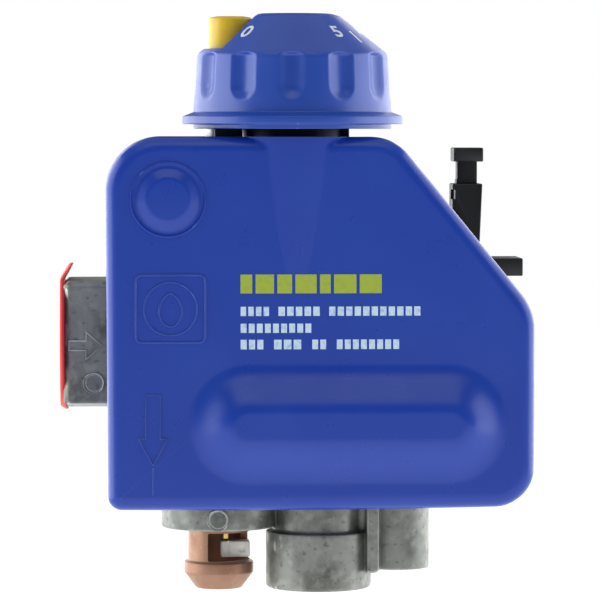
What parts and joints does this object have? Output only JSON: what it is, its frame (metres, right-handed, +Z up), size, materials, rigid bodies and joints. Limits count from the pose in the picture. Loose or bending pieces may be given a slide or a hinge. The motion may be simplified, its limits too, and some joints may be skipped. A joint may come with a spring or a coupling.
{
  "type": "gas valve",
  "caption": "Water heater gas control valve: blue cover and dial knob over a die-cast body with side inlet, bottom outlets, pilot button, thermocouple sleeve, igniter and rear immersion probe",
  "frame": {"origin": "on the tank shank's axis, in the plane where the casting's rear boss ends", "axes": "+X to the right seen from the front, +Y from the front towards the tank along the shank, +Z up along the knob's axis"},
  "size_m": [0.1194, 0.2139, 0.1456],
  "materials": {
    "blue_enamel": "gloss blue paint on the pressed cover, faint orange peel",
    "blue_plastic": "semi-gloss moulded blue plastic",
    "yellow_plastic": "semi-gloss moulded yellow plastic",
    "red_plastic": "soft red polythene dust cap",
    "black_plastic": "satin black moulded plastic",
    "white_plastic": "off-white moulded connector",
    "cast_alloy": "as-cast grey die-cast aluminium",
    "plated_steel": "zinc-plated steel",
    "copper": "copper-coloured plated sleeve and tube",
    "brass": "brass",
    "rubber": "black nitrile rubber"
  },
  "bodies": {
    "root": {"valve_body": "cast_alloy", "cover": "blue_enamel", "cover_screw_1": "plated_steel", "cover_screw_2": "plated_steel", "bearing_plate": "black_plastic", "bearing_screw_1": "plated_steel", "bearing_screw_2": "plated_steel", "front_plate": "cast_alloy", "body_gasket": "rubber", "plate_screw_1": "plated_steel", "plate_screw_2": "plated_steel", "plate_screw_3": "plated_steel", "plate_screw_4": "plated_steel", "plate_screw_5": "plated_steel", "plate_screw_6": "plated_steel", "regulator_cap": "cast_alloy", "regulator_spring": "plated_steel", "regulator_diaphragm": "rubber", "inlet_strainer": "plated_steel", "magnet_unit": "plated_steel", "safety_valve_spring": "plated_steel", "push_rod_oring": "rubber", "thermocouple_sleeve": "copper", "eco_connector": "white_plastic", "eco_terminal": "brass", "main_valve_spring": "plated_steel", "lever_pin": "plated_steel", "probe_tube": "copper", "tank_shank": "plated_steel", "piezo_body": "black_plastic", "piezo_bracket": "black_plastic", "bracket_screw": "plated_steel", "piezo_spring": "plated_steel", "piezo_terminal": "brass"},
    "knob": {"control_knob": "blue_plastic", "knob_spindle": "plated_steel", "gas_cock_rotor": "brass", "spindle_circlip": "plated_steel", "cock_spring": "plated_steel", "pilot_button_spring": "plated_steel"},
    "button": {"pilot_button": "yellow_plastic"},
    "push_rod": {"pilot_push_rod": "plated_steel", "safety_valve_disc": "rubber", "magnet_armature": "plated_steel"},
    "lever": {"thermostat_lever": "plated_steel"},
    "main_valve": {"main_valve_disc": "rubber"},
    "probe_push_rod": {"probe_rod": "plated_steel"},
    "igniter_button": {"piezo_plunger": "black_plastic"},
    "dust_cap": {"inlet_cap": "red_plastic"}
  },
  "joints": [
    {"name": "knob_turn", "type": "hinge", "parent": "root", "child": "knob", "pos_m": [0, -0.036, 0.06], "axis": [0, 0, 1], "range_deg": [-41, 236]},
    {"name": "pilot_button_press", "type": "slide", "parent": "knob", "child": "button", "axis": [0, 0, -1], "range_m": [0, 0.0035], "stiffness_N_per_m": 900, "springref_m": -0.002, "deforming": ["pilot_button_spring"]},
    {"name": "push_rod_slide", "type": "slide", "parent": "root", "child": "push_rod", "axis": [0, 0, -1], "range_m": [0, 0.0035], "deforming": ["safety_valve_spring"]},
    {"name": "lever_tilt", "type": "hinge", "parent": "root", "child": "lever", "pos_m": [0, -0.026, -0.006], "axis": [1, 0, 0], "range_deg": [0, 5.5]},
    {"name": "main_valve_lift", "type": "slide", "parent": "root", "child": "main_valve", "axis": [0, -1, 0], "range_m": [0, 0.0018], "stiffness_N_per_m": 876, "springref_m": -0.0026, "deforming": ["main_valve_spring"]},
    {"name": "probe_rod_push", "type": "slide", "parent": "root", "child": "probe_push_rod", "axis": [0, -1, 0], "range_m": [0, 0.0006]},
    {"name": "piezo_press", "type": "slide", "parent": "root", "child": "igniter_button", "axis": [0, 0, -1], "range_m": [0, 0.005], "stiffness_N_per_m": 1500, "springref_m": -0.002, "deforming": ["piezo_spring"]},
    {"name": "inlet_cap_pull", "type": "slide", "parent": "root", "child": "dust_cap", "axis": [-1, 0, 0], "range_m": [0, 0.02]}
  ],
  "couplings": [
    {"joint": "push_rod_slide", "follows": "pilot_button_press", "ratio": 1},
    {"joint": "lever_tilt", "follows": "main_valve_lift", "rad_per_m": 53.3},
    {"joint": "probe_rod_push", "follows": "main_valve_lift", "ratio": 0.32}
  ]
}
